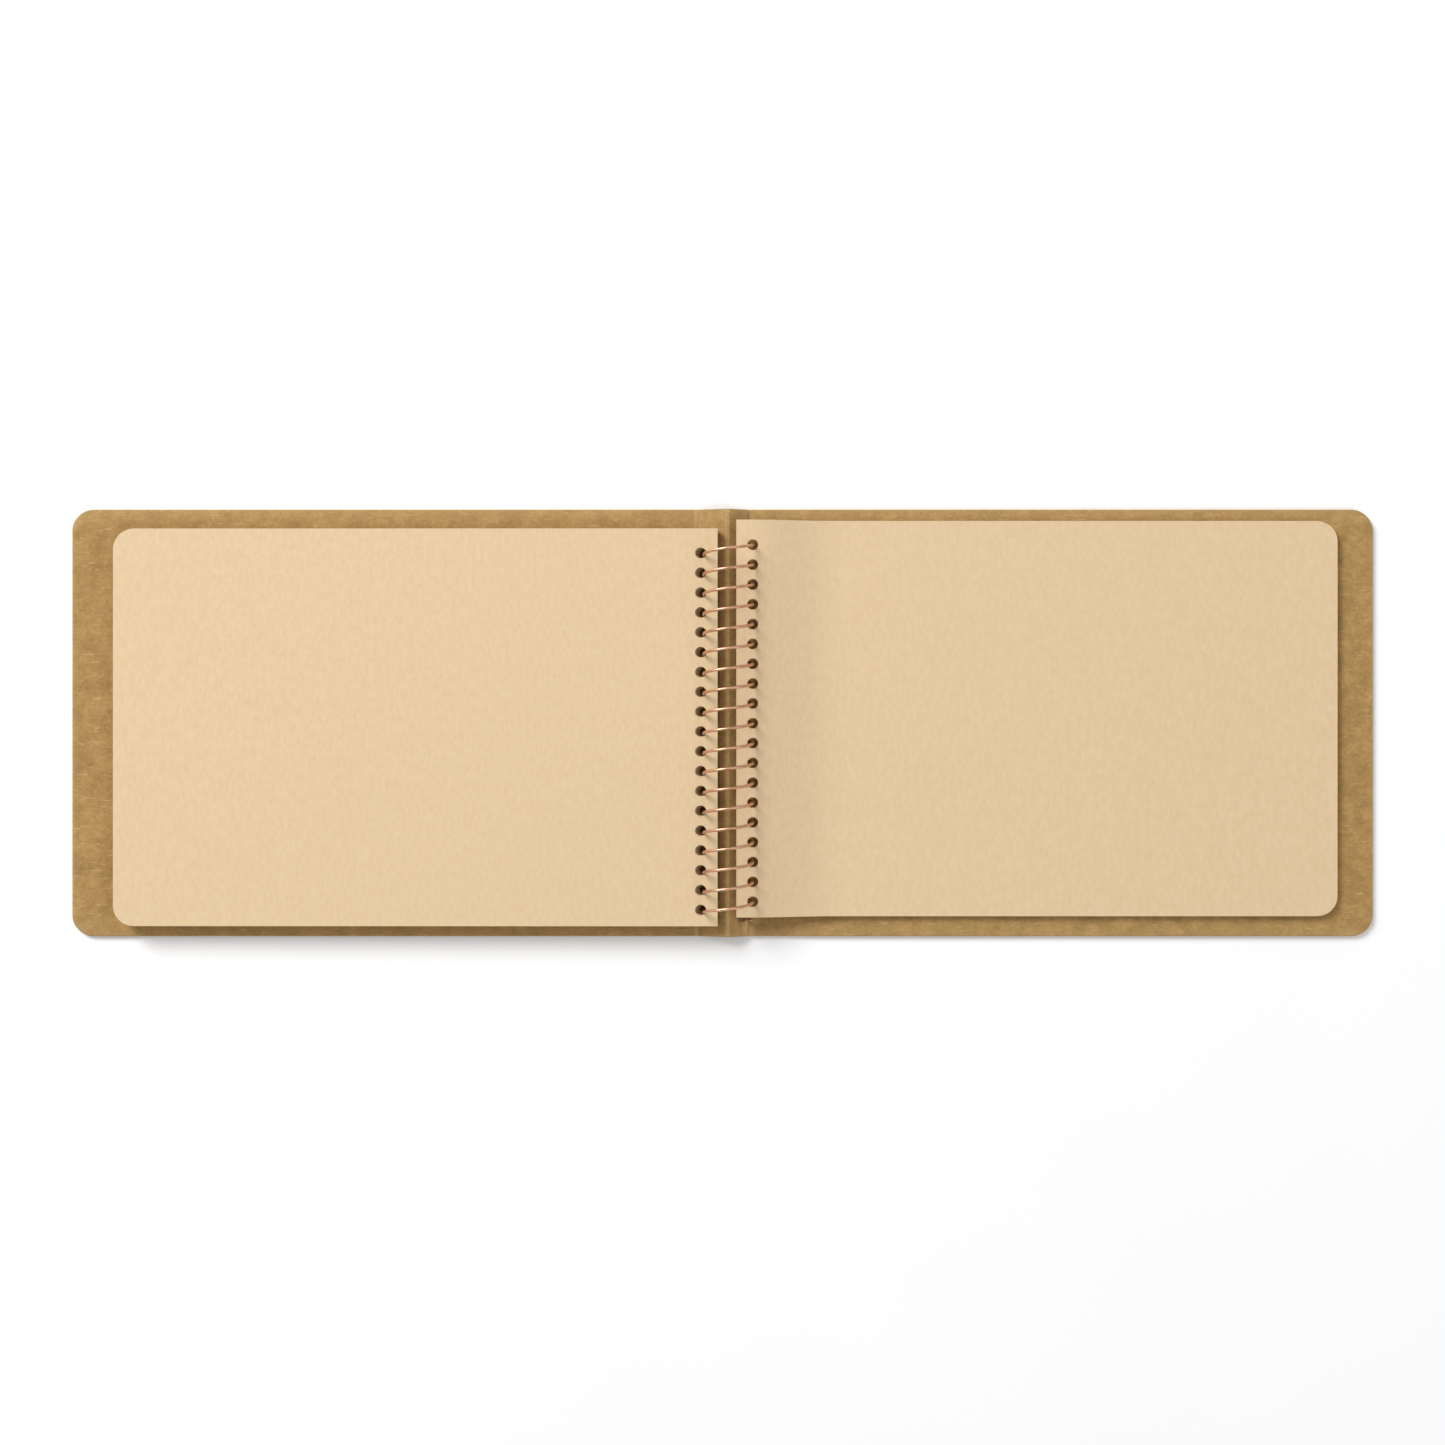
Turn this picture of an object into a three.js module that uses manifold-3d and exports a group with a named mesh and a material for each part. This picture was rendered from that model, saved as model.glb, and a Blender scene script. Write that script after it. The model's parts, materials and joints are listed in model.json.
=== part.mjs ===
// Wire-bound sketchbook lying open. Millimetres, +Z up, spine along Y, cover resting on z = 0.
import * as THREE from "three";
import { mergeVertices } from "three/addons/utils/BufferGeometryUtils.js";
import Module from "manifold-3d";

// driving dimensions
const PITCH = 6.35; // four holes to the inch
const HOLES = 19;
const COVER_LENGTH = 420.4;
const COVER_HEIGHT = 137.9;
const COVER_CORNER = 7;
const BOARD = 1.5;
const CREASE_LEFT = -7.6;
const CREASE_RIGHT = 8.76;
const CREASE_BOARD_GAP = 0.85; // from a crease line to the end of the board
const CREASE_SPINE_GAP = 1.0; // from a crease line to the end of the spine panel
const RIDGE_X = 1.7;
const RIDGE_Z = 4.15;
const AXIS_X = 1.8;
const AXIS_Z = 8.45;
const COIL_RADIUS = 7.95;
const WIRE_RADIUS = 0.48;
const WIRE_SIDES = 6;
const WIRE_STEPS = 14; // per turn
const COIL_START = -40;
const COIL_END = 360 * (HOLES - 1) + 340;
const COIL_FIRST_Y = 56.98; // the wire's height where it first passes the right-hand pages
const PAGE_WIDTH = 193.7;
const PAGE_HEIGHT = 127.3;
const PAGE_CORNER = 6.5;
const LEFT_EDGE = -1.6;
const RIGHT_EDGE = 4.5;
const LEFT_PAGES_Y = -1.45;
const RIGHT_PAGES_Y = 1.4;
const LEFT_TOP_OUTER = 7.5;
const LEFT_TOP_INNER = 8.2;
const RIGHT_TOP_OUTER = 3.5;
const RIGHT_TOP_INNER = 8.2;
const CURL_START = 9; // where the right-hand pages begin to fall away from the wire
const CURL_END = 36;
const LEAF = 0.2;
const LEAF_GAP = 0.1;
const REST_GAP = 0.1; // pages above the cover board
const HOLE_RADIUS = 1.9;
const STACK_HOLE_RADIUS = 2.0;
const TURNED_HOLE_RADIUS = 2.2; // the leaves that turn right over need the wire's half pitch as well
const HOLE_SIDES = 8;
const SPINE_HOLE_RADIUS = 1.6;

// how far along the spine a hole sits from the wire's resting place, so that it clears the wire as it turns
const TURNED_ADVANCE = 1.5;
const HALF_TURNED_ADVANCE = 0.75;
const LEFT_STACK_ADVANCE = 0.6;
const RIGHT_STACK_ADVANCE = 0.45;

// the left stack's lower leaves lie on the slope of the spine panel
const LEFT_FOOT_INSET = 1.2; // its outer edge leans in towards the board
const LEFT_LIFT_START = 0.9; // it leaves the board this far outside the crease
const LEFT_NOSE_X = 1.0; // past the binding edge of the top leaf
const LEFT_NOSE_Z = 5.2;

const KRAFT = 0xb49158;
const PAPER = 0xe6caa3;
const COPPER = 0xc98a63;

const wasm = await Module();
wasm.setup();

function toManifold(geometry) {
  const bare = new THREE.BufferGeometry();
  bare.setAttribute("position", geometry.getAttribute("position").clone());
  if (geometry.index) {
    bare.setIndex(geometry.index.clone());
  }
  const merged = mergeVertices(bare, 1e-5);
  return new wasm.Manifold(
    new wasm.Mesh({
      numProp: 3,
      vertProperties: new Float32Array(merged.getAttribute("position").array),
      triVerts: new Uint32Array(merged.index.array),
    }),
  );
}

function toGeometry(solid) {
  const mesh = solid.getMesh();
  const geometry = new THREE.BufferGeometry();
  geometry.setAttribute("position", new THREE.BufferAttribute(Float32Array.from(mesh.vertProperties), 3));
  geometry.setIndex(new THREE.BufferAttribute(Uint32Array.from(mesh.triVerts), 1));
  geometry.computeVertexNormals();
  return geometry;
}

const group = new THREE.Group();

function add(name, geometry, colour, metalness, roughness) {
  const material = new THREE.MeshStandardMaterial({ color: colour, metalness, roughness });
  const mesh = new THREE.Mesh(geometry, material);
  mesh.name = name;
  group.add(mesh);
}

// the wire's height along the spine at an angle in degrees, measured from the right-hand side over the top
function wireY(angle) {
  return COIL_FIRST_Y - (PITCH * angle) / 360;
}

// a profile in X and Z, extruded along Y between two heights
function profileSolid(points, low, high) {
  const shape = new THREE.Shape(points.map(([x, z]) => new THREE.Vector2(x, z)));
  const geometry = new THREE.ExtrudeGeometry(shape, { depth: high - low, bevelEnabled: false });
  geometry.rotateX(Math.PI / 2);
  geometry.translate(0, high, 0);
  return toManifold(geometry);
}

// the waste outside one rounded corner; side and end are +1 or -1
function cornerWaste(x, y, side, end, radius) {
  const reach = 1;
  const shape = new THREE.Shape();
  shape.moveTo(x - side * radius, y + end * reach);
  shape.lineTo(x - side * radius, y);
  const steps = 5;
  for (let i = 1; i <= steps; i += 1) {
    const turn = (i / steps) * (Math.PI / 2);
    const along = x - side * radius * (1 - Math.sin(turn));
    shape.lineTo(along, y - end * radius * (1 - Math.cos(turn)));
  }
  shape.lineTo(x + side * reach, y - end * radius);
  shape.lineTo(x + side * reach, y + end * reach);
  const geometry = new THREE.ExtrudeGeometry(shape, { depth: 20, bevelEnabled: false });
  geometry.translate(0, 0, -5);
  return toManifold(geometry);
}

// a ring about the coil's axis that clears the wire for any angle of the pages
function holeRing(y, radius) {
  const ring = new THREE.TorusGeometry(COIL_RADIUS, radius, HOLE_SIDES, 24);
  ring.rotateX(Math.PI / 2);
  ring.translate(AXIS_X, y, AXIS_Z);
  return toManifold(ring);
}

// ---- cover boards ----
function board(side) {
  const inner = side < 0 ? CREASE_LEFT - CREASE_BOARD_GAP : CREASE_RIGHT + CREASE_BOARD_GAP;
  const outer = (side * COVER_LENGTH) / 2;
  const half = COVER_HEIGHT / 2;
  const r = COVER_CORNER;
  const shape = new THREE.Shape();
  shape.moveTo(inner, -half);
  shape.lineTo(outer - side * r, -half);
  const steps = 8;
  for (let i = 1; i <= steps; i += 1) {
    const turn = (i / steps) * (Math.PI / 2);
    shape.lineTo(outer - side * r * (1 - Math.sin(turn)), -half + r * (1 - Math.cos(turn)));
  }
  for (let i = 0; i <= steps; i += 1) {
    const turn = (i / steps) * (Math.PI / 2);
    shape.lineTo(outer - side * r * (1 - Math.cos(turn)), half - r * (1 - Math.sin(turn)));
  }
  shape.lineTo(inner, half);
  return new THREE.ExtrudeGeometry(shape, { depth: BOARD, bevelEnabled: false });
}
add("front_cover", board(-1), KRAFT, 0, 0.9);
add("back_cover", board(1), KRAFT, 0, 0.9);

// ---- spine panel: the strip between the creases, folded up to a ridge and pierced by the wire ----
function spineMid(x) {
  const left = (x - CREASE_LEFT) / (RIDGE_X - CREASE_LEFT);
  const right = (CREASE_RIGHT - x) / (CREASE_RIGHT - RIDGE_X);
  return BOARD / 2 + Math.min(left, right) * (RIDGE_Z - BOARD / 2);
}
const ridgeRise = RIDGE_Z - BOARD / 2;
const leftSlope = Math.atan(ridgeRise / (RIDGE_X - CREASE_LEFT));
const rightSlope = Math.atan(ridgeRise / (CREASE_RIGHT - RIDGE_X));
const spineHalf = BOARD / 2 / Math.cos(leftSlope);
const spineEnds = [CREASE_LEFT + CREASE_SPINE_GAP, RIDGE_X, CREASE_RIGHT - CREASE_SPINE_GAP];
const spinePoints = [
  ...spineEnds.map((x) => [x, spineMid(x) - spineHalf]),
  ...spineEnds.toReversed().map((x) => [x, spineMid(x) + spineHalf]),
];
let spine = profileSolid(spinePoints, -COVER_HEIGHT / 2, COVER_HEIGHT / 2);

// the angle at which the wire's circle meets one slope of the spine panel
function pierceAngle(side) {
  let low = side < 0 ? 190 : 280;
  let high = side < 0 ? 265 : 350;
  const above = (angle) => {
    const turn = THREE.MathUtils.degToRad(angle);
    return AXIS_Z + COIL_RADIUS * Math.sin(turn) > spineMid(AXIS_X + COIL_RADIUS * Math.cos(turn));
  };
  const lowAbove = above(low);
  for (let i = 0; i < 40; i += 1) {
    const middle = (low + high) / 2;
    if (above(middle) === lowAbove) {
      low = middle;
    } else {
      high = middle;
    }
  }
  return low;
}
for (const side of [-1, 1]) {
  const angle = pierceAngle(side);
  const turn = THREE.MathUtils.degToRad(angle);
  const x = AXIS_X + COIL_RADIUS * Math.cos(turn);
  for (let i = 0; i < HOLES; i += 1) {
    const punch = new THREE.CylinderGeometry(SPINE_HOLE_RADIUS, SPINE_HOLE_RADIUS, 4 * BOARD, HOLE_SIDES);
    punch.rotateX(Math.PI / 2);
    punch.rotateY(side < 0 ? -leftSlope : rightSlope);
    punch.translate(x, wireY(angle + 360 * i), spineMid(x));
    spine = spine.subtract(toManifold(punch));
  }
}
add("spine_panel", toGeometry(spine), KRAFT, 0, 0.9);

// ---- wire coil: a closed tube along a helix ----
function coil() {
  const count = Math.round(((COIL_END - COIL_START) / 360) * WIRE_STEPS);
  const positions = [];
  const index = [];
  const lead = PITCH / (2 * Math.PI);
  for (let i = 0; i <= count; i += 1) {
    const angle = COIL_START + ((COIL_END - COIL_START) * i) / count;
    const turn = THREE.MathUtils.degToRad(angle);
    const out = new THREE.Vector3(Math.cos(turn), 0, Math.sin(turn));
    const along = new THREE.Vector3(-Math.sin(turn) * COIL_RADIUS, -lead, Math.cos(turn) * COIL_RADIUS);
    along.normalize();
    const across = new THREE.Vector3().crossVectors(along, out);
    const middle = new THREE.Vector3(AXIS_X, wireY(angle), AXIS_Z).addScaledVector(out, COIL_RADIUS);
    for (let j = 0; j < WIRE_SIDES; j += 1) {
      const round = (2 * Math.PI * j) / WIRE_SIDES;
      const point = middle.clone();
      point.addScaledVector(out, WIRE_RADIUS * Math.cos(round));
      point.addScaledVector(across, WIRE_RADIUS * Math.sin(round));
      positions.push(point.x, point.y, point.z);
    }
  }
  for (let i = 0; i < count; i += 1) {
    for (let j = 0; j < WIRE_SIDES; j += 1) {
      const a = i * WIRE_SIDES + j;
      const b = i * WIRE_SIDES + ((j + 1) % WIRE_SIDES);
      const c = a + WIRE_SIDES;
      const d = b + WIRE_SIDES;
      index.push(a, b, d);
      index.push(a, d, c);
    }
  }
  const last = count * WIRE_SIDES;
  for (let j = 1; j < WIRE_SIDES - 1; j += 1) {
    index.push(0, j + 1, j);
    index.push(last, last + j, last + j + 1);
  }
  const geometry = new THREE.BufferGeometry();
  geometry.setAttribute("position", new THREE.Float32BufferAttribute(positions, 3));
  geometry.setIndex(index);
  geometry.computeVertexNormals();
  return geometry;
}
add("wire_coil", coil(), COPPER, 1, 0.3);

// ---- pages ----
// the top surface of the uppermost leaf on one side, at a distance from its binding edge
function leftTop(x) {
  const run = (LEFT_EDGE - x) / PAGE_WIDTH;
  return LEFT_TOP_INNER + (LEFT_TOP_OUTER - LEFT_TOP_INNER) * run;
}
function rightTop(x) {
  const run = THREE.MathUtils.smoothstep(x, CURL_START, CURL_END);
  return RIGHT_TOP_INNER + (RIGHT_TOP_OUTER - RIGHT_TOP_INNER) * run;
}
const rightStations = [RIGHT_EDGE, CURL_START];
const curlSteps = 5;
for (let i = 1; i <= curlSteps; i += 1) {
  rightStations.push(CURL_START + ((CURL_END - CURL_START) * i) / curlSteps);
}
rightStations.push(RIGHT_EDGE + PAGE_WIDTH);
const leftStations = [LEFT_EDGE - PAGE_WIDTH, LEFT_EDGE];

function finishPages(solid, side, holeOffset, holeRadius) {
  const y = side < 0 ? LEFT_PAGES_Y : RIGHT_PAGES_Y;
  const edge = side < 0 ? LEFT_EDGE - PAGE_WIDTH : RIGHT_EDGE + PAGE_WIDTH;
  const rest = side < 0 ? 180 : 0;
  let cut = solid;
  for (const end of [-1, 1]) {
    cut = cut.subtract(cornerWaste(edge, y + (end * PAGE_HEIGHT) / 2, side, end, PAGE_CORNER));
  }
  for (let i = 0; i < HOLES; i += 1) {
    cut = cut.subtract(holeRing(wireY(rest + 360 * i) + holeOffset, holeRadius));
  }
  return toGeometry(cut);
}

function sheetBetween(stations, top, upper, lower) {
  return [
    ...stations.map((x) => [x, top(x) - lower]),
    ...stations.toReversed().map((x) => [x, top(x) - upper]),
  ];
}

function leaf(side, order) {
  const upper = order * (LEAF + LEAF_GAP);
  const lower = upper + LEAF;
  const y = side < 0 ? LEFT_PAGES_Y : RIGHT_PAGES_Y;
  const stations = side < 0 ? leftStations : rightStations;
  const points = sheetBetween(stations, side < 0 ? leftTop : rightTop, upper, lower);
  const solid = profileSolid(points, y - PAGE_HEIGHT / 2, y + PAGE_HEIGHT / 2);
  const turned = order === 0;
  const advance = turned ? TURNED_ADVANCE : HALF_TURNED_ADVANCE;
  return finishPages(solid, side, side < 0 ? advance : -advance, turned ? TURNED_HOLE_RADIUS : HOLE_RADIUS);
}

function leftPages() {
  const upper = 2 * (LEAF + LEAF_GAP);
  const bottom = BOARD + REST_GAP;
  const outer = LEFT_EDGE - PAGE_WIDTH;
  const points = [
    [outer + LEFT_FOOT_INSET, bottom],
    [CREASE_LEFT - LEFT_LIFT_START, bottom],
    [LEFT_EDGE + LEFT_NOSE_X, LEFT_NOSE_Z],
    [LEFT_EDGE, leftTop(LEFT_EDGE) - upper],
    [outer, leftTop(outer) - upper],
  ];
  const half = PAGE_HEIGHT / 2;
  const solid = profileSolid(points, LEFT_PAGES_Y - half, LEFT_PAGES_Y + half);
  return finishPages(solid, -1, LEFT_STACK_ADVANCE, STACK_HOLE_RADIUS);
}

function rightPages() {
  const upper = 2 * (LEAF + LEAF_GAP);
  const lower = RIGHT_TOP_OUTER - BOARD - REST_GAP;
  const points = sheetBetween(rightStations, rightTop, upper, lower);
  const half = PAGE_HEIGHT / 2;
  const solid = profileSolid(points, RIGHT_PAGES_Y - half, RIGHT_PAGES_Y + half);
  return finishPages(solid, 1, -RIGHT_STACK_ADVANCE, HOLE_RADIUS);
}

add("left_pages", leftPages(), PAPER, 0, 0.9);
add("right_pages", rightPages(), PAPER, 0, 0.9);
add("left_leaf_1", leaf(-1, 0), PAPER, 0, 0.9);
add("left_leaf_2", leaf(-1, 1), PAPER, 0, 0.9);
add("right_leaf_1", leaf(1, 0), PAPER, 0, 0.9);
add("right_leaf_2", leaf(1, 1), PAPER, 0, 0.9);

export default group;
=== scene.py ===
"""Looks for the open wire-bound sketchbook: kraft card cover, drawing paper, rose-copper wire."""
import json
import math
import random

import bmesh
import bpy
import numpy as np
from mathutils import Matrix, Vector


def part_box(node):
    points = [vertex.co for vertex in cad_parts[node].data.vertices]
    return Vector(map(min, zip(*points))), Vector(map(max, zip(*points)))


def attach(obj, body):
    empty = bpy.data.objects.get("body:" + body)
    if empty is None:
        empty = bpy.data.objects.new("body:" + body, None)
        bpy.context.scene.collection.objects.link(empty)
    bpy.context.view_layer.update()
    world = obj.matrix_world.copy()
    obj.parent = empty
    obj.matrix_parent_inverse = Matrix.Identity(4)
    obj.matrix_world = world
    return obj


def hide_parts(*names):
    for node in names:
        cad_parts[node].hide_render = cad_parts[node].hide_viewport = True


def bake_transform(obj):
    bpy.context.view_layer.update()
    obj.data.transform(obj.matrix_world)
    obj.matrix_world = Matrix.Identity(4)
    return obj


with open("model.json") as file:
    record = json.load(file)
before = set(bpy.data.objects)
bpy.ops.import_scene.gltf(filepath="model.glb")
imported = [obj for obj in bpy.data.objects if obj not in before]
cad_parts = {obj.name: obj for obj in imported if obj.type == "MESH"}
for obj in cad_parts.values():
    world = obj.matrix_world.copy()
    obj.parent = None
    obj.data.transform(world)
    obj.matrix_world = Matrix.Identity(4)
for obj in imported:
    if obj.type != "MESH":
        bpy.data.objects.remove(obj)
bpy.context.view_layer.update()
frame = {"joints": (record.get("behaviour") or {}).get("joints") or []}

MM = 0.001


def joint(name):
    return next(j for j in frame["joints"] if j["name"] == name)


# ---- places taken from the frame ----
FRONT_LOW, FRONT_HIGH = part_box("front_cover")
BACK_LOW, BACK_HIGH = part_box("back_cover")
SPINE_LOW, SPINE_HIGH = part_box("spine_panel")
LEFT_LOW, LEFT_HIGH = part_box("left_leaf_1")
RIGHT_LOW, RIGHT_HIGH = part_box("right_leaf_1")
COIL_LOW, COIL_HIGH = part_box("wire_coil")
BOARD = FRONT_HIGH[2] - FRONT_LOW[2]
CREASE_LEFT = joint("front_crease")["pos_m"][0]
CREASE_RIGHT = joint("back_crease")["pos_m"][0]
AXIS_X, _, AXIS_Z = joint("left_stack_turn")["pos_m"]
HALF_LENGTH = BACK_HIGH[0]
HALF_HEIGHT = BACK_HIGH[1]

# ---- the cover ----
RIDGE_X = 1.7 * MM
RIDGE_RISE = 3.4 * MM
LEFT_SLOPE = math.atan(RIDGE_RISE / (RIDGE_X - CREASE_LEFT))
RIGHT_SLOPE = math.atan(RIDGE_RISE / (CREASE_RIGHT - RIDGE_X))
RIDGE_ROUNDING = 0.06  # share of the slope that the pressed ridge rounds off
COVER_CORNER = 7 * MM
COVER_EDGE_ROUNDING = 0.4 * MM
GROOVE_DEPTH = 0.3 * MM
GROOVE_WIDTH = 0.7 * MM
COVER_HOLE = 1.5 * MM

# ---- the wire and the pages it carries ----
PITCH = 6.35 * MM
HOLES = 19
WIRE = 0.48 * MM
COIL_RADIUS = COIL_HIGH[0] - AXIS_X - WIRE
COIL_FIRST_Y = 56.98 * MM
COIL_START = -40
COIL_END = 360 * (HOLES - 1) + 340
PAGE_CORNER = 6.5 * MM
HOLE = 1.8 * MM
LEFT_HOLE_INSET = 5.4 * MM
RIGHT_HOLE_INSET = 5.2 * MM
LEAF = 0.16 * MM
LEAF_SPACING = 0.3 * MM
LEAF_RIPPLE = 0.03 * MM
LEFT_SHEETS = 34
RIGHT_SHEETS = 8
LOOSE_LEAVES = 0.6 * MM  # room that the two loose leaves take above a stack
REST = BOARD + 0.1 * MM

# ---- how the pages lie ----
LEFT_OUTER_TOP = 7.5 * MM
RIGHT_OUTER_TOP = 3.5 * MM
CURL_START = 9 * MM
CURL_END = 36 * MM
LEFT_LIFT_X = CREASE_LEFT - 0.9 * MM
LEFT_NOSE_X = LEFT_HIGH[0] + 1 * MM
LEFT_NOSE_Z = 5.2 * MM
MOST_HOLE_SLIDE = 1.4 * MM


# ---- materials ----
def new_material(name):
    material = bpy.data.materials.new(name)
    material.use_nodes = True
    return material, material.node_tree.nodes, material.node_tree.links


def noise(nodes, links, vector, scale, detail=3.0, roughness=0.6, stretch=(1, 1, 1)):
    mapping = nodes.new("ShaderNodeMapping")
    mapping.inputs["Scale"].default_value = stretch
    links.new(vector, mapping.inputs["Vector"])
    texture = nodes.new("ShaderNodeTexNoise")
    texture.inputs["Scale"].default_value = scale
    texture.inputs["Detail"].default_value = detail
    texture.inputs["Roughness"].default_value = roughness
    links.new(mapping.outputs["Vector"], texture.inputs["Vector"])
    return texture.outputs["Fac"]


def ramp(nodes, links, factor, stops):
    node = nodes.new("ShaderNodeValToRGB")
    while len(node.color_ramp.elements) < len(stops):
        node.color_ramp.elements.new(0.5)
    for element, (place, colour) in zip(node.color_ramp.elements, stops):
        element.position = place
        element.color = (*colour, 1)
    links.new(factor, node.inputs["Fac"])
    return node.outputs["Color"]


def mix(nodes, links, factor, a, b, kind="MIX"):
    node = nodes.new("ShaderNodeMix")
    node.data_type = "RGBA"
    node.blend_type = kind
    for value, socket in ((factor, node.inputs[0]), (a, node.inputs[6]), (b, node.inputs[7])):
        if isinstance(value, bpy.types.NodeSocket):
            links.new(value, socket)
        else:
            socket.default_value = value
    return node.outputs[2]


def bump(nodes, links, height, strength, distance):
    node = nodes.new("ShaderNodeBump")
    node.inputs["Strength"].default_value = strength
    node.inputs["Distance"].default_value = distance
    links.new(height, node.inputs["Height"])
    return node.outputs["Normal"]


def kraft_material(name, edge=False):
    """Unbleached card: a warm brown with long pale and dark fibres, soft blotches, a rubbed outer edge and
    painted highlights along the crease beads and the spine ridge.
    """
    material, nodes, links = new_material(name)
    shader = nodes["Principled BSDF"]
    place = nodes.new("ShaderNodeTexCoord").outputs["Object"]
    blotch = noise(nodes, links, place, 210, 5)
    grain = noise(nodes, links, place, 900, 5, 0.7)
    fibre_along = noise(nodes, links, place, 1500, 2, 0.5, (0.16, 1, 1))
    fibre_across = noise(nodes, links, place, 1400, 2, 0.5, (1, 0.2, 1))
    base = ramp(nodes, links, blotch, [(0.3, (0.316, 0.188, 0.062)), (0.7, (0.436, 0.268, 0.098))])
    fine = ramp(nodes, links, grain, [(0.3, (0.74, 0.72, 0.68)), (0.72, (1.16, 1.17, 1.19))])
    colour = mix(nodes, links, 0.8, base, fine, "MULTIPLY")
    pale = ramp(nodes, links, fibre_along, [(0.62, (0, 0, 0)), (0.74, (1, 1, 1))])
    dark = ramp(nodes, links, fibre_across, [(0.66, (0, 0, 0)), (0.8, (1, 1, 1))])
    colour = mix(nodes, links, pale, colour, mix(nodes, links, 0.3, colour, (0.72, 0.52, 0.28, 1)))
    colour = mix(nodes, links, dark, colour, mix(nodes, links, 0.35, colour, (0.2, 0.1, 0.03, 1)))
    # painted highlight and wear: the attribute paints pale colour on the lit sides of the crease beads and
    # the ridge, and marks real rubbing at the outer edges
    wear_and_painted_highlight = nodes.new("ShaderNodeAttribute")
    wear_and_painted_highlight.attribute_name = "wear_and_painted_highlight"
    colour = mix(nodes, links, wear_and_painted_highlight.outputs["Fac"], colour, (0.60, 0.41, 0.20, 1))
    if edge:
        layers = noise(nodes, links, place, 700, 3, 0.6, (0.15, 0.15, 6))
        band = ramp(nodes, links, layers, [(0.35, (0.26, 0.15, 0.055)), (0.65, (0.50, 0.33, 0.14))])
        colour = mix(nodes, links, 0.6, colour, band)
    links.new(colour, shader.inputs["Base Color"])
    rough = ramp(nodes, links, grain, [(0.2, (0.78, 0.78, 0.78)), (0.8, (0.95, 0.95, 0.95))])
    links.new(rough, shader.inputs["Roughness"])
    shader.inputs["Specular IOR Level"].default_value = 0.25
    links.new(bump(nodes, links, grain, 0.35, 0.00012), shader.inputs["Normal"])
    return material


def paper_material(name, edge=False):
    """Cream drawing paper with a faint tooth, cloudy formation and a few stray fibres; on the edge
    version, painted shade in bands for the gaps between the leaves.
    """
    material, nodes, links = new_material(name)
    shader = nodes["Principled BSDF"]
    place = nodes.new("ShaderNodeTexCoord").outputs["Object"]
    cloud = noise(nodes, links, place, 760, 4, 0.6, (1, 0.5, 1))
    tooth = noise(nodes, links, place, 2600, 3, 0.6)
    fibre = noise(nodes, links, place, 1100, 2, 0.4, (0.25, 1, 1))
    colour = ramp(nodes, links, cloud, [(0.35, (0.640, 0.478, 0.286)), (0.65, (0.680, 0.516, 0.318))])
    stray = ramp(nodes, links, fibre, [(0.72, (0, 0, 0)), (0.82, (1, 1, 1))])
    colour = mix(nodes, links, stray, colour, mix(nodes, links, 0.18, colour, (0.45, 0.28, 0.12, 1)))
    if edge:
        # painted shade: dark bands across the stack's edge stand for the shadowed gaps between the leaves
        layer = noise(nodes, links, place, 500, 2, 0.5, (0.1, 0.1, 14))
        painted_leaf_gap_shade = ramp(nodes, links, layer, [(0.3, (0.55, 0.47, 0.38)), (0.7, (1.02, 1.0, 0.96))])
        colour = mix(nodes, links, 0.75, colour, painted_leaf_gap_shade, "MULTIPLY")
    links.new(colour, shader.inputs["Base Color"])
    rough = ramp(nodes, links, tooth, [(0.2, (0.8, 0.8, 0.8)), (0.8, (0.92, 0.92, 0.92))])
    links.new(rough, shader.inputs["Roughness"])
    shader.inputs["Specular IOR Level"].default_value = 0.3
    links.new(bump(nodes, links, tooth, 0.2, 0.00004), shader.inputs["Normal"])
    return material


def wire_material(name):
    """Rose-copper plated steel with drawing marks along it and slightly duller patches."""
    material, nodes, links = new_material(name)
    shader = nodes["Principled BSDF"]
    place = nodes.new("ShaderNodeTexCoord").outputs["Object"]
    patch = noise(nodes, links, place, 260, 4)
    scratch = noise(nodes, links, place, 3000, 2, 0.6, (1, 6, 1))
    colour = ramp(nodes, links, patch, [(0.3, (0.60, 0.33, 0.20)), (0.7, (0.78, 0.47, 0.31))])
    links.new(colour, shader.inputs["Base Color"])
    shader.inputs["Metallic"].default_value = 1.0
    rough = ramp(nodes, links, patch, [(0.25, (0.34, 0.34, 0.34)), (0.8, (0.46, 0.46, 0.46))])
    links.new(rough, shader.inputs["Roughness"])
    links.new(bump(nodes, links, scratch, 0.05, 0.00002), shader.inputs["Normal"])
    return material


def floor_material():
    material, nodes, links = new_material("floor_white")
    shader = nodes["Principled BSDF"]
    place = nodes.new("ShaderNodeTexCoord").outputs["Object"]
    tone = noise(nodes, links, place, 6, 2)
    colour = ramp(nodes, links, tone, [(0.3, (0.89, 0.89, 0.89)), (0.7, (0.91, 0.91, 0.91))])
    links.new(colour, shader.inputs["Base Color"])
    shader.inputs["Roughness"].default_value = 0.9
    return material


KRAFT = kraft_material("kraft_card")
KRAFT_EDGE = kraft_material("kraft_card_edge", edge=True)
PAPER = paper_material("drawing_paper")
PAPER_EDGE = paper_material("drawing_paper_edge", edge=True)
COPPER = wire_material("rose_copper_wire")


def mesh_object(name, points, faces, materials, face_slots=None, smooth=True):
    mesh = bpy.data.meshes.new(name)
    mesh.from_pydata([tuple(p) for p in points], [], faces)
    for material in materials:
        mesh.materials.append(material)
    if face_slots is not None:
        mesh.polygons.foreach_set("material_index", face_slots)
    mesh.polygons.foreach_set("use_smooth", [smooth] * len(faces))
    mesh.update()
    piece = bpy.data.objects.new(name, mesh)
    bpy.context.scene.collection.objects.link(piece)
    return piece


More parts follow.
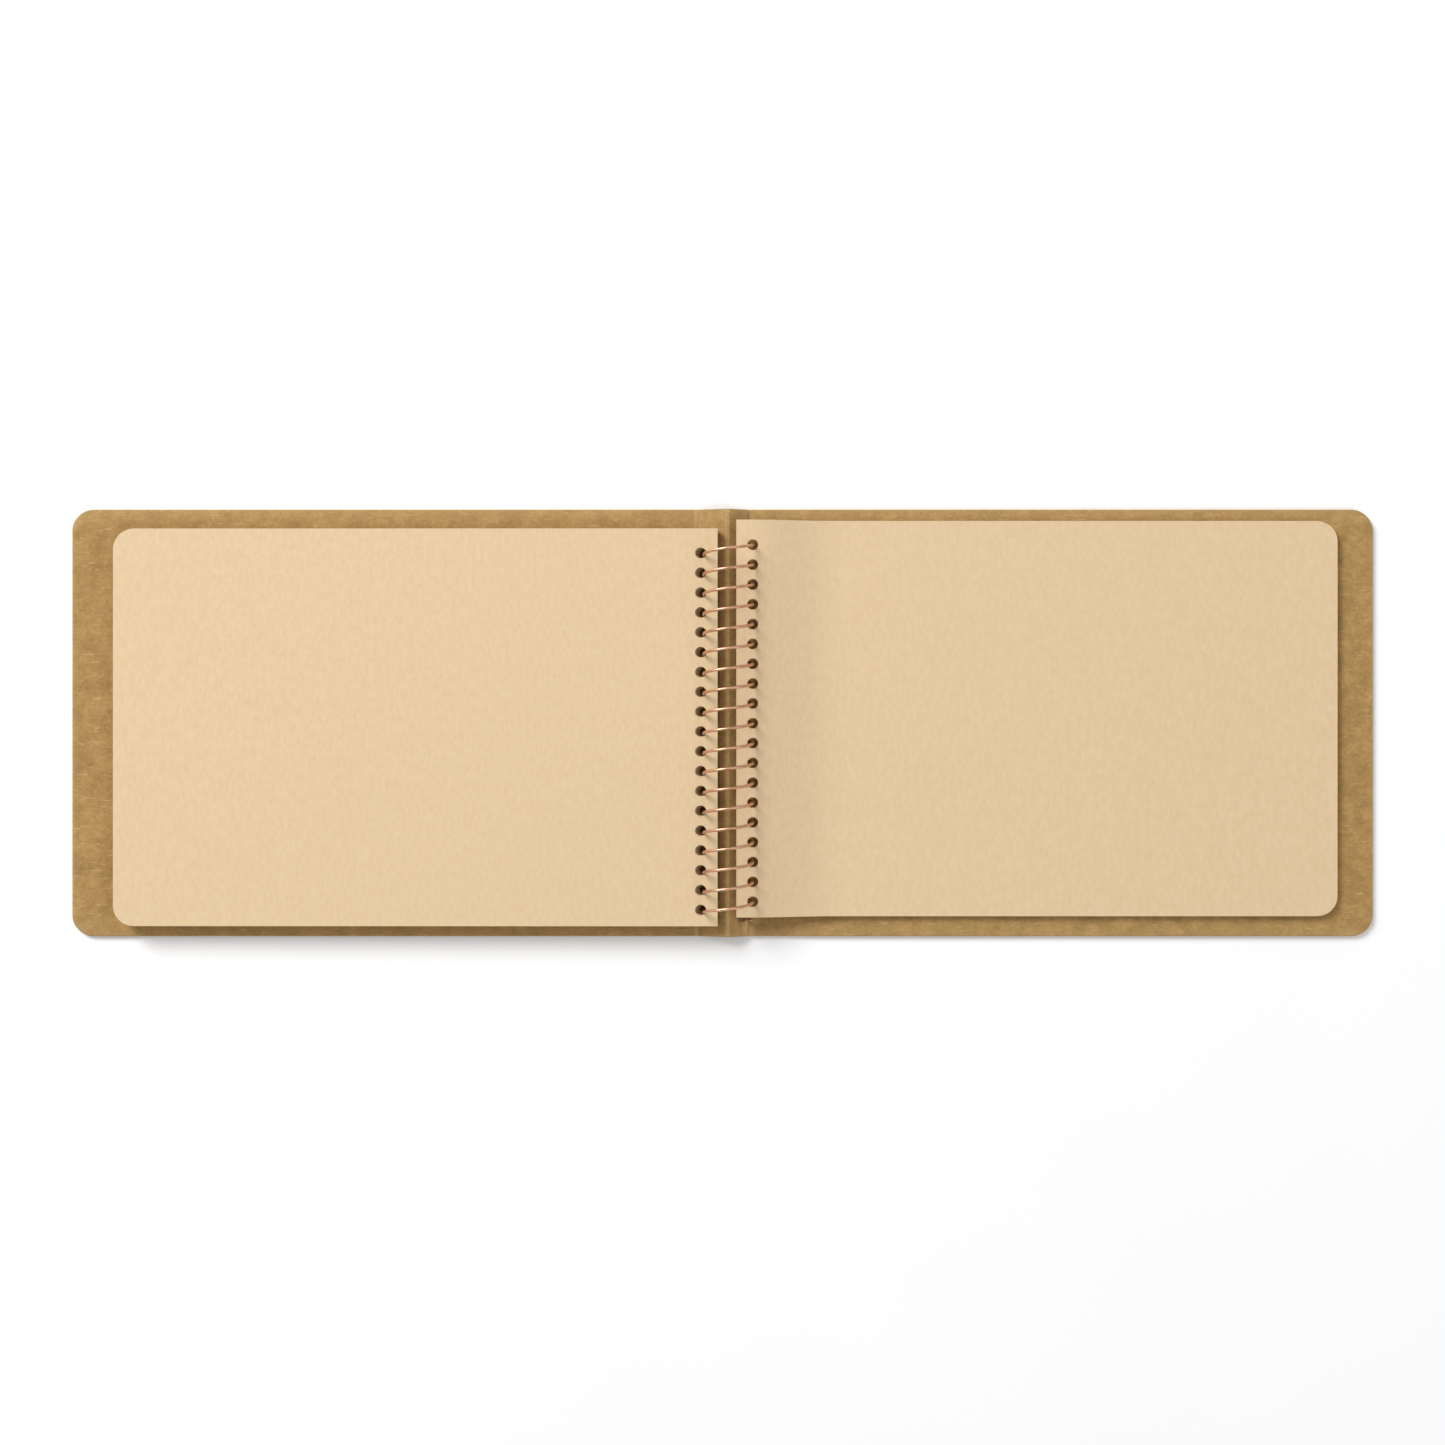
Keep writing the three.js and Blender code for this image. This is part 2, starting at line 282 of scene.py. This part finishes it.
# ---- cover ----
def spine_middle(x):
    """Height of the middle of the card at x: flat boards, and a low ridge between the creases."""
    ridge = SPINE_HIGH[2] - BOARD / 2 / math.cos(LEFT_SLOPE)
    flat = BOARD / 2
    if x <= CREASE_LEFT or x >= CREASE_RIGHT:
        return flat
    if x < RIDGE_X:
        run = (x - CREASE_LEFT) / (RIDGE_X - CREASE_LEFT)
    else:
        run = (CREASE_RIGHT - x) / (CREASE_RIGHT - RIDGE_X)
    if run >= 1 - RIDGE_ROUNDING:
        run = 1 - RIDGE_ROUNDING / 2 - (1 - run) ** 2 / (2 * RIDGE_ROUNDING)
    return flat + run * (ridge - flat)


def crease_groove(x):
    """Depth of the pressed line along each crease, on the upper face."""
    near = min(abs(x - CREASE_LEFT), abs(x - CREASE_RIGHT))
    return GROOVE_DEPTH * math.exp(-((near / GROOVE_WIDTH) ** 2))


def cover_half_height(x):
    """Half the card's width along Y at x, less where the outer corners are rounded."""
    past = abs(x) - (HALF_LENGTH - COVER_CORNER)
    if past <= 0:
        return HALF_HEIGHT
    return HALF_HEIGHT - COVER_CORNER + math.sqrt(max(COVER_CORNER**2 - past**2, 0))


def cover_stations(low, high):
    """Places along X, closer together at the rounded corners and the creases."""
    places = set(np.linspace(low, high, 36))
    for centre in (CREASE_LEFT, CREASE_RIGHT, RIDGE_X):
        places |= {centre + t * MM for t in np.linspace(-2.4, 2.4, 17)}
    for side in (-1, 1):
        for turn in np.linspace(0, math.pi / 2, 14):
            places.add(side * (HALF_LENGTH - COVER_CORNER * (1 - math.sin(turn))))
    kept = sorted(x for x in places if low <= x <= high)
    return [x for i, x in enumerate(kept) if i == 0 or x - kept[i - 1] > 1e-6]


def cover_piece(name, low, high):
    """A length of the card, made of rings across it whose long edges are rounded."""
    soft = COVER_EDGE_ROUNDING
    corner = [(soft * (1 - math.cos(t)), soft * (1 - math.sin(t))) for t in np.linspace(0, math.pi / 2, 4)]
    lengthwise = np.linspace(-1, 1, 25)[1:-1]
    points, faces, slots = [], [], []
    stations = cover_stations(low, high)
    for x in stations:
        half = cover_half_height(x)
        middle = spine_middle(x)
        into_end = max(soft - (HALF_LENGTH - abs(x)), 0)
        thin = soft - math.sqrt(max(soft**2 - into_end**2, 0))
        top = middle + BOARD / 2 - thin - crease_groove(x)
        bottom = middle - BOARD / 2 + thin
        loop = []
        loop += [(-half + a, top - b) for a, b in corner]
        loop += [(t * (half - soft), top) for t in lengthwise]
        loop += [(half - a, top - b) for a, b in reversed(corner)]
        loop += [(half - a, bottom + b) for a, b in corner]
        loop += [(t * (half - soft), bottom) for t in reversed(lengthwise)]
        loop += [(-half + a, bottom + b) for a, b in reversed(corner)]
        points += [(x, y, z) for y, z in loop]
    rings = len(stations)
    ring = len(points) // rings
    side = len(corner)
    edge_from, edge_to = side + len(lengthwise), side + len(lengthwise) + 2 * side
    for i in range(rings - 1):
        for j in range(ring):
            a, b = i * ring + j, i * ring + (j + 1) % ring
            faces.append((a, b, b + ring, a + ring))
            on_edge = edge_from + 1 <= j < edge_to - 2 or j >= ring - side + 1 or j < side - 2
            slots.append(1 if on_edge else 0)
    faces.append(tuple(range(ring))[::-1])
    faces.append(tuple(range((rings - 1) * ring, rings * ring)))
    slots += [1, 1]
    piece = mesh_object(name, points, faces, [KRAFT, KRAFT_EDGE], slots)
    clean_normals(piece)
    return piece


def add_wear_and_painted_highlights(piece):
    """Paler card: painted highlights on the lit left sides of the creases and on the ridge top, and real
    rubbing along the outer edges.
    """
    # painted highlights: pale lines just left of each crease and along the ridge, where the light from the
    # upper left falls
    lines = ((CREASE_LEFT - 0.9 * MM, 0.5), (CREASE_RIGHT - 0.8 * MM, 0.4), (RIDGE_X, 0.35))
    wear_and_painted_highlight = piece.data.attributes.new("wear_and_painted_highlight", "FLOAT", "POINT")
    values = []
    for v in piece.data.vertices:
        x, y, z = v.co
        level = sum(amount * math.exp(-(((x - place) / (0.55 * MM)) ** 2)) for place, amount in lines)
        in_from_edge = min(HALF_LENGTH - abs(x), cover_half_height(x) - abs(y))
        # real wear: paler card rubbed along the outer edges
        level += 0.3 * math.exp(-in_from_edge / (0.5 * MM))
        values.append(min(level, 1) if z > BOARD / 2 else 0.3 * min(level, 1))
    wear_and_painted_highlight.data.foreach_set("value", values)


def clean_normals(piece):
    work = bmesh.new()
    work.from_mesh(piece.data)
    bmesh.ops.recalc_face_normals(work, faces=work.faces)
    work.to_mesh(piece.data)
    work.free()


def punch(piece, places):
    """Cuts the round holes that the wire passes through."""
    work = bmesh.new()
    for place, tilt in places:
        made = bmesh.ops.create_cone(work, cap_ends=True, segments=20, depth=4 * BOARD,
                                     radius1=COVER_HOLE, radius2=COVER_HOLE)
        for v in made["verts"]:
            x, z = v.co.x, v.co.z
            v.co.x = x * math.cos(tilt) + z * math.sin(tilt) + place[0]
            v.co.z = -x * math.sin(tilt) + z * math.cos(tilt) + place[2]
            v.co.y += place[1]
    mesh = bpy.data.meshes.new("punch")
    work.to_mesh(mesh)
    work.free()
    cutter = bpy.data.objects.new("punch", mesh)
    bpy.context.scene.collection.objects.link(cutter)
    cut = piece.modifiers.new("punch", "BOOLEAN")
    cut.object = cutter
    cut.solver = "EXACT"
    bpy.context.view_layer.objects.active = piece
    with bpy.context.temp_override(object=piece, active_object=piece, selected_objects=[piece]):
        bpy.ops.object.modifier_apply(modifier="punch")
    bpy.data.objects.remove(cutter)
    bpy.data.meshes.remove(mesh)


def wire_y(angle):
    """Place along the spine of the wire's centre line, at an angle in degrees round the coil."""
    return COIL_FIRST_Y - PITCH * angle / 360


def pierce_places(side):
    """Where the wire passes through one slope of the spine."""
    turns = np.radians(np.arange(190, 265, 0.05) if side < 0 else np.arange(350, 280, -0.05))
    for turn in turns:
        x = AXIS_X + COIL_RADIUS * math.cos(turn)
        if AXIS_Z + COIL_RADIUS * math.sin(turn) < spine_middle(x):
            break
    degrees = math.degrees(turn)
    tilt = -LEFT_SLOPE if side < 0 else RIGHT_SLOPE
    return [((x, wire_y(degrees + 360 * i), spine_middle(x)), tilt) for i in range(HOLES)]


def make_cover():
    front = cover_piece("front_cover_card", -HALF_LENGTH, RIDGE_X)
    back = cover_piece("back_cover_card", RIDGE_X, HALF_LENGTH)
    punch(front, pierce_places(-1))
    punch(back, pierce_places(1))
    add_wear_and_painted_highlights(front)
    add_wear_and_painted_highlights(back)
    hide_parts("front_cover", "spine_panel")
    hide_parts("back_cover")
    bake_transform(front)
    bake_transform(back)


# ---- pages ----
def left_top(x):
    """Height of the left pages' upper face: straight, from the wire down to the outer edge."""
    run = (LEFT_HIGH[0] - x) / (LEFT_HIGH[0] - LEFT_LOW[0])
    return LEFT_HIGH[2] + (LEFT_OUTER_TOP - LEFT_HIGH[2]) * run


def right_top(x):
    """Height of the right pages' upper face: flat, then curling up to the wire."""
    run = min(max((x - CURL_START) / (CURL_END - CURL_START), 0), 1)
    run = run * run * (3 - 2 * run)
    return RIGHT_HIGH[2] + (RIGHT_OUTER_TOP - RIGHT_HIGH[2]) * run


def left_bottom(x):
    slope = (LEFT_NOSE_Z - REST) / (LEFT_NOSE_X - LEFT_LIFT_X)
    return REST + max(x - LEFT_LIFT_X, 0) * slope


def right_bottom(x):
    return right_top(x) - (RIGHT_OUTER_TOP - REST)


def flat_sheet(side, hole_steps):
    """The outline of one leaf as quads, with a strip of cells round its holes. Returns (points, faces)."""
    hole_y = hole_heights(side)
    low, high = (LEFT_LOW, LEFT_HIGH) if side < 0 else (RIGHT_LOW, RIGHT_HIGH)
    y_low, y_high = low[1], high[1]
    edge = high[0] if side < 0 else low[0]
    far = low[0] if side < 0 else high[0]
    inset = LEFT_HOLE_INSET if side < 0 else RIGHT_HOLE_INSET
    centre = edge + side * inset
    strip = edge + side * 2 * inset
    points, faces, known = [], [], {}

    def at(x, y):
        key = (round(x, 8), round(y, 8))
        if key not in known:
            known[key] = len(points)
            points.append((x, y))
        return known[key]

    def box_point(turn, half_x, half_y):
        c, s = math.cos(turn), math.sin(turn)
        k = min(half_x / max(abs(c), 1e-9), half_y / max(abs(s), 1e-9))
        return c * k, s * k

    half_x, half_y = inset, PITCH / 2
    corner = math.atan2(half_y, half_x)
    turns = []
    for start, end in ((-corner, corner), (corner, math.pi - corner),
                       (math.pi - corner, math.pi + corner), (math.pi + corner, 2 * math.pi - corner)):
        turns += [start + (end - start) * i / hole_steps for i in range(hole_steps)]
    lines = {y_low, y_high}
    for y in hole_y:
        rim = [box_point(t, half_x, half_y) for t in turns]
        outer = [at(centre + bx, y + by) for bx, by in rim]
        inner = [at(centre + HOLE * math.cos(t), y + HOLE * math.sin(t)) for t in turns]
        count = len(turns)
        for i in range(count):
            faces.append((inner[i], outer[i], outer[(i + 1) % count], inner[(i + 1) % count]))
        for bx, by in rim:
            if abs(centre + bx - strip) < 1e-7:
                lines.add(round(y + by, 8))
        lines.add(round(y + half_y, 8))
        lines.add(round(y - half_y, 8))
    ends = [(y_low, min(hole_y) - half_y), (max(hole_y) + half_y, y_high)]
    top_turns = [corner + (math.pi - 2 * corner) * i / hole_steps for i in range(hole_steps + 1)]
    across = sorted({round(centre + box_point(t, half_x, half_y)[0], 8) for t in top_turns})
    for a, b in ends:
        for i in range(len(across) - 1):
            faces.append((at(across[i], a), at(across[i + 1], a), at(across[i + 1], b), at(across[i], b)))
    for i in range(1, 6):
        for base in (y_low, y_high):
            turn = i / 6 * math.pi / 2
            lines.add(base + (1 if base == y_low else -1) * PAGE_CORNER * (1 - math.sin(turn)))
    ys = sorted(lines)
    ys = [y for i, y in enumerate(ys) if i == 0 or y - ys[i - 1] > 1e-6]
    corner_start = far - side * PAGE_CORNER
    xs = [strip + (corner_start - strip) * (i / 22) ** 1.5 for i in range(23)]

    def reach(y):
        into = PAGE_CORNER - min(y - y_low, y_high - y)
        if into <= 0:
            return far
        return corner_start + side * math.sqrt(max(PAGE_CORNER**2 - into**2, 0))

    columns = [[at(x, y) for y in ys] for x in xs]
    for share in (0.4, 0.75, 1.0):
        columns.append([at(corner_start + (reach(y) - corner_start) * share, y) for y in ys])
    for c in range(len(columns) - 1):
        for r in range(len(ys) - 1):
            quad = (columns[c][r], columns[c + 1][r], columns[c + 1][r + 1], columns[c][r + 1])
            if len(set(quad)) >= 3:
                faces.append(tuple(dict.fromkeys(quad)))
    return points, faces


def hole_heights(side):
    """Hole centres from the head to the foot; the wire lies a little below the middle of the left ones."""
    rest, offset = (180, 0.55 * MM) if side < 0 else (0, 0.05 * MM)
    return [wire_y(rest + 360 * i) + offset for i in range(HOLES)]


def sheet_solid(flat, faces, place, half_thickness):
    """Upper and lower skins of a leaf, joined round every edge. place(x, y) gives (x, y, z)."""
    count = len(flat)
    spots = [place(x, y) for x, y in flat]
    thick = [half_thickness(x) for x, y in flat]
    points = [(x, y, z + t) for (x, y, z), t in zip(spots, thick)]
    points += [(x, y, z - t) for (x, y, z), t in zip(spots, thick)]
    edges = {}
    for face in faces:
        for i, a in enumerate(face):
            b = face[(i + 1) % len(face)]
            key = (min(a, b), max(a, b))
            edges[key] = edges.get(key, []) + [(a, b)]
    top = [tuple(f) for f in faces]
    under = [tuple(v + count for v in reversed(f)) for f in faces]
    border = [users[0] for users in edges.values() if len(users) == 1]
    rim = []
    for a, b in border:  # the rim has its own points, so that the skins stay smooth up to it
        first = len(points)
        points += [points[b], points[a], points[a + count], points[b + count]]
        rim.append((first, first + 1, first + 2, first + 3))
    return points, top + under + rim, [0] * (2 * len(faces)) + [1] * len(rim)


def oriented(flat, faces):
    """The faces, all turning the same way seen from above."""
    out = []
    for face in faces:
        area = 0
        for i, a in enumerate(face):
            b = face[(i + 1) % len(face)]
            area += flat[a][0] * flat[b][1] - flat[b][0] * flat[a][1]
        if abs(area) > 1e-13:
            out.append(face if area > 0 else tuple(reversed(face)))
    return out


def wire_x(z, side):
    """Where the wire's centre line crosses height z, on one side of its axis."""
    return AXIS_X + side * math.sqrt(COIL_RADIUS**2 - (AXIS_Z - z) ** 2)


def make_stack(name, side, sheets, node, body):
    """The leaves below the two loose ones: each a little out of line with the next."""
    drop = LOOSE_LEAVES
    rng = random.Random(7 if side < 0 else 11)
    top, bottom = (left_top, left_bottom) if side < 0 else (right_top, right_bottom)
    flat, faces = flat_sheet(side, 3)
    faces = oriented(flat, faces)
    inset = LEFT_HOLE_INSET if side < 0 else RIGHT_HOLE_INSET
    hole_x = (LEFT_HIGH[0] - inset) if side < 0 else (RIGHT_LOW[0] + inset)
    points, all_faces, slots = [], [], []
    for k in range(sheets):
        share = (k + 0.5) / sheets
        drift_x, drift_y = rng.uniform(-0.12, 0.12) * MM, rng.uniform(-0.18, 0.18) * MM
        height = bottom(hole_x) + (top(hole_x) - drop - bottom(hole_x)) * share
        slide = 0
        if side < 0:
            slide = min(wire_x(height, side) - wire_x(top(hole_x) - drop, side), MOST_HOLE_SLIDE)

        def place(x, y, share=share, slide=slide, dx=drift_x, dy=drift_y):
            off = min(abs(x - hole_x) / inset, 1)
            moved = x + dx + slide * math.cos(math.pi / 2 * max(off - 0.35, 0) / 0.65) ** 2
            level = bottom(moved) + (top(moved) - drop - bottom(moved)) * share
            return moved, y + dy, level

        def half(x):
            return 0.42 * (top(x) - drop - bottom(x)) / sheets

        made, made_faces, made_slots = sheet_solid(flat, faces, place, half)
        base = len(points)
        points += made
        all_faces += [tuple(v + base for v in f) for f in made_faces]
        slots += made_slots
    piece = mesh_object(name, points, all_faces, [PAPER, PAPER_EDGE], slots)
    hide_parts(node)
    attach(piece, body)


def make_leaf(name, side, order, node, body):
    """One loose leaf, rippled very slightly; order counts down from the top."""
    top = left_top if side < 0 else right_top
    flat, faces = flat_sheet(side, 6)
    faces = oriented(flat, faces)
    drop = order * LEAF_SPACING + LEAF / 2 + 0.02 * MM

    def place(x, y):
        ripple = LEAF_RIPPLE * math.sin(41 * x + 3 * order) * math.sin(53 * y + order)
        return x, y, top(x) - drop + ripple

    points, all_faces, slots = sheet_solid(flat, faces, place, lambda x: LEAF / 2)
    piece = mesh_object(name, points, all_faces, [PAPER, PAPER_EDGE], slots)
    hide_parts(node)
    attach(piece, body)


# ---- wire ----
def make_wire():
    """The coil: a tube along a helix, with its two cut ends rounded."""
    steps, sides = 48, 12
    count = int((COIL_END - COIL_START) / 360 * steps)
    lead = PITCH / (2 * math.pi)
    points, faces = [], []
    rounding = [(1.0, 0.0), (0.8, 0.55), (0.35, 0.92)]
    stations = [(0, -d * WIRE, s) for s, d in reversed(rounding[1:])]
    stations += [(i, 0, 1.0) for i in range(count + 1)]
    stations += [(count, d * WIRE, s) for s, d in rounding[1:]]
    for i, past, swell in stations:
        turn = math.radians(COIL_START + (COIL_END - COIL_START) * i / count)
        out = Vector((math.cos(turn), 0, math.sin(turn)))
        along = Vector((-math.sin(turn) * COIL_RADIUS, -lead, math.cos(turn) * COIL_RADIUS)).normalized()
        across = along.cross(out)
        middle = Vector((AXIS_X, wire_y(math.degrees(turn)), AXIS_Z)) + out * COIL_RADIUS + along * past
        for j in range(sides):
            t = 2 * math.pi * j / sides
            points.append(middle + WIRE * swell * (out * math.cos(t) + across * math.sin(t)))
    rings = len(stations)
    for i in range(rings - 1):
        for j in range(sides):
            a, b = i * sides + j, i * sides + (j + 1) % sides
            faces.append((a, b, b + sides, a + sides))
    faces.append(tuple(range(sides))[::-1])
    faces.append(tuple(range((rings - 1) * sides, rings * sides)))
    piece = mesh_object("copper_wire_coil", points, faces, [COPPER])
    clean_normals(piece)
    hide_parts("wire_coil")
    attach(piece, "spine")


# ---- stage ----
def make_stage():
    bpy.ops.mesh.primitive_plane_add(size=6)
    floor = bpy.context.active_object
    floor.name = "floor"
    floor.location.z = -0.02 * MM
    floor.data.materials.append(floor_material())


def area_light(name, place, size, power, target=(0, 0, 0)):
    lamp = bpy.data.lights.new(name, "AREA")
    lamp.shape = "DISK"
    lamp.size = size
    lamp.energy = power
    holder = bpy.data.objects.new(name, lamp)
    holder.location = place
    holder.rotation_euler = (Vector(target) - Vector(place)).to_track_quat("-Z", "Y").to_euler()
    bpy.context.scene.collection.objects.link(holder)


def make_light():
    world = bpy.data.worlds.new("studio")
    bpy.context.scene.world = world
    world.use_nodes = True
    world.node_tree.nodes["Background"].inputs["Color"].default_value = (1, 1, 1, 1)
    world.node_tree.nodes["Background"].inputs["Strength"].default_value = 0.52
    area_light("key_upper_left", (-1.15, 1.25, 1.25), 1.1, 44)
    area_light("fill_right", (1.2, -0.9, 1.5), 1.2, 7)


def make_camera():
    lens = bpy.data.cameras.new("photo_view")
    lens.sensor_width = 36
    lens.lens = 53.85
    holder = bpy.data.objects.new("photo_view", lens)
    holder.location = (0, 0.00013, 0.7)
    bpy.context.scene.collection.objects.link(holder)
    bpy.context.scene.camera = holder


make_camera()
make_light()
make_stage()
bpy.context.scene.view_settings.view_transform = "Standard"
make_cover()
make_stack("left_page_stack", -1, LEFT_SHEETS, "left_pages", "left_stack")
make_stack("right_page_stack", 1, RIGHT_SHEETS, "right_pages", "right_stack")
make_leaf("left_leaf_top", -1, 0, "left_leaf_1", "left_top")
make_leaf("left_leaf_second", -1, 1, "left_leaf_2", "left_second")
make_leaf("right_leaf_top", 1, 0, "right_leaf_1", "right_top")
make_leaf("right_leaf_second", 1, 1, "right_leaf_2", "right_second")
make_wire()
